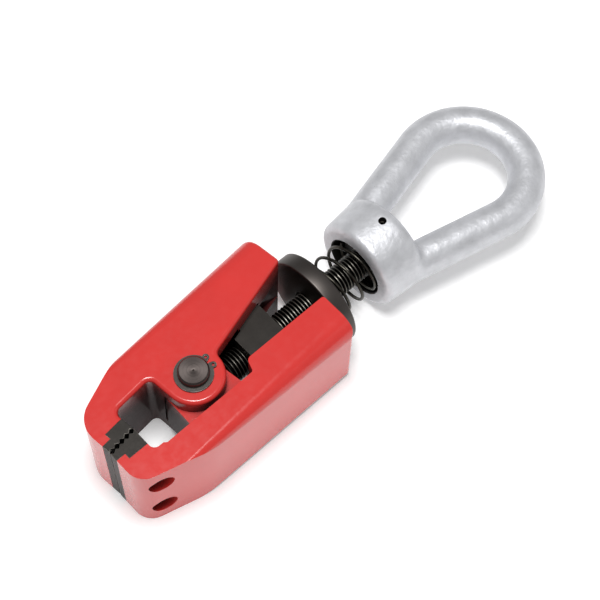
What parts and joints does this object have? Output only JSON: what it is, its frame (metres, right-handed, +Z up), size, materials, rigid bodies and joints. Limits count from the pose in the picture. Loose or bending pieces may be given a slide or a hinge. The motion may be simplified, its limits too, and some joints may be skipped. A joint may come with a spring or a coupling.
{
  "type": "self-tightening pulling clamp",
  "caption": "Pulling clamp with two cast jaws on a pivot pin, serrated steel inserts, a wedge on a threaded spindle, and a swivelling forged pull eye.",
  "frame": {"origin": "on the rest plane, at the centre of the pivot pin's flush head, under the pivot axis", "axes": "+X along the spindle from the pivot towards the pull eye, +Y towards the swinging left jaw, +Z up along the pivot pin"},
  "size_m": [0.2996, 0.087, 0.061],
  "materials": {
    "red_enamel_casting": "gloss",
    "black_oxide_steel": "satin",
    "black_fastener": "satin",
    "turned_pin_steel": "satin",
    "spring_steel": "satin",
    "spindle_steel": "satin",
    "turned_plate_steel": "satin",
    "galvanised_forging": "matte"
  },
  "bodies": {
    "right_jaw_assembly": {"right_jaw": "red_enamel_casting", "right_insert": "black_oxide_steel", "right_insert_screws": "black_fastener", "right_lock_washers": "black_fastener", "pivot_pin": "turned_pin_steel", "pivot_retaining_ring": "spring_steel"},
    "left_jaw_assembly": {"left_jaw": "red_enamel_casting", "left_insert": "black_oxide_steel", "left_insert_screws": "black_fastener", "left_lock_washers": "black_fastener"},
    "wedge": {"wedge_nut": "black_oxide_steel"},
    "plate": {"spring_plate": "turned_plate_steel", "return_spring": "spring_steel"},
    "eye_assembly": {"spindle": "spindle_steel", "pull_eye": "galvanised_forging", "eye_lock_pin": "spring_steel", "spring_seat_washer": "black_fastener"}
  },
  "joints": [
    {"name": "spindle_draw", "type": "slide", "parent": "right_jaw_assembly", "child": "wedge", "axis": [1, 0, 0], "range_m": [-0.006, 0], "stiffness_N_per_m": 1500, "springref_m": 0.01, "deforming": ["return_spring"]},
    {"name": "jaw_swing", "type": "hinge", "parent": "right_jaw_assembly", "child": "left_jaw_assembly", "pos_m": [0, 0, 0.028], "axis": [0, 0, 1], "range_deg": [-7, 0]},
    {"name": "eye_turn", "type": "hinge", "parent": "wedge", "child": "eye_assembly", "pos_m": [0.1, 0, 0.028], "axis": [1, 0, 0], "continuous": true},
    {"name": "plate_turn", "type": "hinge", "parent": "right_jaw_assembly", "child": "plate", "pos_m": [0.08, 0, 0.028], "axis": [1, 0, 0], "continuous": true}
  ],
  "couplings": [
    {"joint": "jaw_swing", "follows": "spindle_draw", "rad_per_m": 20.362}
  ]
}
